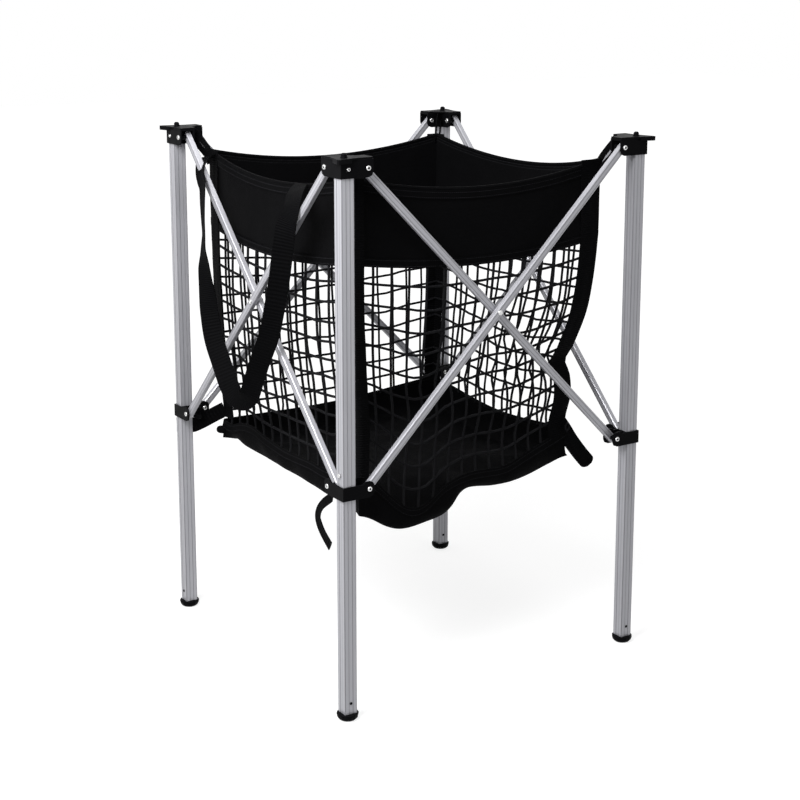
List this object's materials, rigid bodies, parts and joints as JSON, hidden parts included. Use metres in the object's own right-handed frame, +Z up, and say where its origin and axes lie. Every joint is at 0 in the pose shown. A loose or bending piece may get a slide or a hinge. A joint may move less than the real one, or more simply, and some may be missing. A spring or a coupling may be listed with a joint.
{
  "type": "ball cart",
  "caption": "Folding ball cart: square legs joined by crossed scissor bars on every side, with a hanging net bag, a fabric band and base, and a shoulder strap.",
  "frame": {"origin": "on the floor in the middle of the four legs", "axes": "+Z up, the front leg at -X -Y and the right leg at +X -Y, seen from above"},
  "size_m": [0.6928, 0.6928, 1.016],
  "materials": {
    "aluminium": "satin anodised",
    "steel": "bright plated",
    "black_plastic": "moulded, satin",
    "black_webbing": "woven webbing",
    "black_fabric": "coated cloth",
    "black_net": "braided cord"
  },
  "bodies": {
    "front_leg": {"leg_front": "aluminium", "foot_front": "black_plastic", "top_bracket_front": "black_plastic", "cap_plate_front": "black_plastic", "cap_screw_front": "steel", "corner_webbing_front": "black_webbing", "band_left_front": "black_fabric", "net_left_front": "black_net", "band_front_right": "black_fabric", "net_front_right": "black_net", "base_panel": "black_fabric", "carry_strap": "black_webbing", "right_tie_strap": "black_webbing", "front_tie_strap": "black_webbing"},
    "front_right_inner": {"inner_bar_front_right": "aluminium"},
    "front_right_outer": {"outer_bar_front_right": "aluminium", "crossing_pin_front_right": "steel"},
    "right_leg": {"leg_right": "aluminium", "foot_right": "black_plastic", "top_bracket_right": "black_plastic", "cap_plate_right": "black_plastic", "cap_screw_right": "steel", "corner_webbing_right": "black_webbing", "band_right_back": "black_fabric", "net_right_back": "black_net"},
    "front_slider": {"slider_front": "black_plastic"},
    "right_slider": {"slider_right": "black_plastic"},
    "left_front_outer": {"outer_bar_left_front": "aluminium", "crossing_pin_left_front": "steel"},
    "left_front_inner": {"inner_bar_left_front": "aluminium"},
    "left_leg": {"leg_left": "aluminium", "foot_left": "black_plastic", "top_bracket_left": "black_plastic", "cap_plate_left": "black_plastic", "cap_screw_left": "steel", "corner_webbing_left": "black_webbing", "band_back_left": "black_fabric", "net_back_left": "black_net", "fastened_tie_strap": "black_webbing"},
    "left_slider": {"slider_left": "black_plastic"},
    "right_back_inner": {"inner_bar_right_back": "aluminium"},
    "right_back_outer": {"outer_bar_right_back": "aluminium", "crossing_pin_right_back": "steel"},
    "back_leg": {"leg_back": "aluminium", "foot_back": "black_plastic", "top_bracket_back": "black_plastic", "cap_plate_back": "black_plastic", "cap_screw_back": "steel", "corner_webbing_back": "black_webbing"},
    "back_slider": {"slider_back": "black_plastic"},
    "back_left_outer": {"outer_bar_back_left": "aluminium", "crossing_pin_back_left": "steel"},
    "back_left_inner": {"inner_bar_back_left": "aluminium"},
    "front_button": {"snap_button_front": "steel"},
    "right_button": {"snap_button_right": "steel"},
    "back_button": {"snap_button_back": "steel"},
    "left_button": {"snap_button_left": "steel"}
  },
  "joints": [
    {"name": "fold", "type": "hinge", "parent": "front_leg", "child": "front_right_inner", "pos_m": [-0.281, -0.32, 0.9895], "axis": [0, 1, 0], "range_deg": [0, 40.9], "deforming": ["corner_webbing_front", "corner_webbing_right", "corner_webbing_back", "corner_webbing_left", "band_front_right", "net_front_right", "band_right_back", "net_right_back", "band_back_left", "net_back_left", "band_left_front", "net_left_front", "base_panel", "carry_strap", "right_tie_strap", "front_tie_strap", "fastened_tie_strap"]},
    {"name": "front_right_scissor", "type": "hinge", "parent": "front_right_inner", "child": "front_right_outer", "pos_m": [0, -0.32, 0.7085], "axis": [0, 1, 0], "range_deg": [-81.8, 0]},
    {"name": "right_leg_pivot", "type": "hinge", "parent": "front_right_outer", "child": "right_leg", "pos_m": [0.281, -0.32, 0.9895], "axis": [0, 1, 0], "range_deg": [0, 40.9]},
    {"name": "front_slider_pivot", "type": "hinge", "parent": "front_right_outer", "child": "front_slider", "pos_m": [-0.281, -0.32, 0.4275], "axis": [0, 1, 0], "range_deg": [0, 40.9]},
    {"name": "right_slider_pivot", "type": "hinge", "parent": "front_right_inner", "child": "right_slider", "pos_m": [0.281, -0.32, 0.4275], "axis": [0, 1, 0], "range_deg": [-40.9, 0]},
    {"name": "left_front_fold", "type": "hinge", "parent": "front_leg", "child": "left_front_outer", "pos_m": [-0.32, -0.281, 0.9895], "axis": [-1, 0, 0], "range_deg": [0, 40.9]},
    {"name": "left_front_scissor", "type": "hinge", "parent": "left_front_outer", "child": "left_front_inner", "pos_m": [-0.32, 0, 0.7085], "axis": [-1, 0, 0], "range_deg": [-81.8, 0]},
    {"name": "left_leg_pivot", "type": "hinge", "parent": "left_front_inner", "child": "left_leg", "pos_m": [-0.32, 0.281, 0.9895], "axis": [-1, 0, 0], "range_deg": [0, 40.9]},
    {"name": "left_slider_pivot", "type": "hinge", "parent": "left_front_outer", "child": "left_slider", "pos_m": [-0.32, 0.281, 0.4275], "axis": [-1, 0, 0], "range_deg": [-40.9, 0]},
    {"name": "right_back_fold", "type": "hinge", "parent": "right_leg", "child": "right_back_inner", "pos_m": [0.32, -0.281, 0.9895], "axis": [-1, 0, 0], "range_deg": [0, 40.9]},
    {"name": "right_back_scissor", "type": "hinge", "parent": "right_back_inner", "child": "right_back_outer", "pos_m": [0.32, 0, 0.7085], "axis": [-1, 0, 0], "range_deg": [-81.8, 0]},
    {"name": "back_leg_pivot", "type": "hinge", "parent": "right_back_outer", "child": "back_leg", "pos_m": [0.32, 0.281, 0.9895], "axis": [-1, 0, 0], "range_deg": [0, 40.9]},
    {"name": "back_slider_pivot", "type": "hinge", "parent": "right_back_inner", "child": "back_slider", "pos_m": [0.32, 0.281, 0.4275], "axis": [-1, 0, 0], "range_deg": [-40.9, 0]},
    {"name": "back_left_fold", "type": "hinge", "parent": "left_leg", "child": "back_left_outer", "pos_m": [-0.281, 0.32, 0.9895], "axis": [0, 1, 0], "range_deg": [0, 40.9]},
    {"name": "back_left_scissor", "type": "hinge", "parent": "back_left_outer", "child": "back_left_inner", "pos_m": [0, 0.32, 0.7085], "axis": [0, 1, 0], "range_deg": [-81.8, 0]},
    {"name": "front_button_press", "type": "slide", "parent": "front_leg", "child": "front_button", "axis": [1, 0, 0], "range_m": [0, 0.0042], "stiffness_N_per_m": 600, "springref_m": -0.0015},
    {"name": "right_button_press", "type": "slide", "parent": "right_leg", "child": "right_button", "axis": [-1, 0, 0], "range_m": [0, 0.0042], "stiffness_N_per_m": 600, "springref_m": -0.0015},
    {"name": "back_button_press", "type": "slide", "parent": "back_leg", "child": "back_button", "axis": [-1, 0, 0], "range_m": [0, 0.0042], "stiffness_N_per_m": 600, "springref_m": -0.0015},
    {"name": "left_button_press", "type": "slide", "parent": "left_leg", "child": "left_button", "axis": [0, -1, 0], "range_m": [0, 0.0042], "stiffness_N_per_m": 600, "springref_m": -0.0015}
  ],
  "couplings": [
    {"joint": "front_right_scissor", "follows": "fold", "ratio": -2},
    {"joint": "right_leg_pivot", "follows": "fold", "ratio": 1},
    {"joint": "front_slider_pivot", "follows": "fold", "ratio": 1},
    {"joint": "right_slider_pivot", "follows": "fold", "ratio": -1},
    {"joint": "left_front_fold", "follows": "fold", "ratio": 1},
    {"joint": "left_front_scissor", "follows": "fold", "ratio": -2},
    {"joint": "left_leg_pivot", "follows": "fold", "ratio": 1},
    {"joint": "left_slider_pivot", "follows": "fold", "ratio": -1},
    {"joint": "right_back_fold", "follows": "fold", "ratio": 1},
    {"joint": "right_back_scissor", "follows": "fold", "ratio": -2},
    {"joint": "back_leg_pivot", "follows": "fold", "ratio": 1},
    {"joint": "back_slider_pivot", "follows": "fold", "ratio": -1},
    {"joint": "back_left_fold", "follows": "fold", "ratio": 1},
    {"joint": "back_left_scissor", "follows": "fold", "ratio": -2}
  ]
}
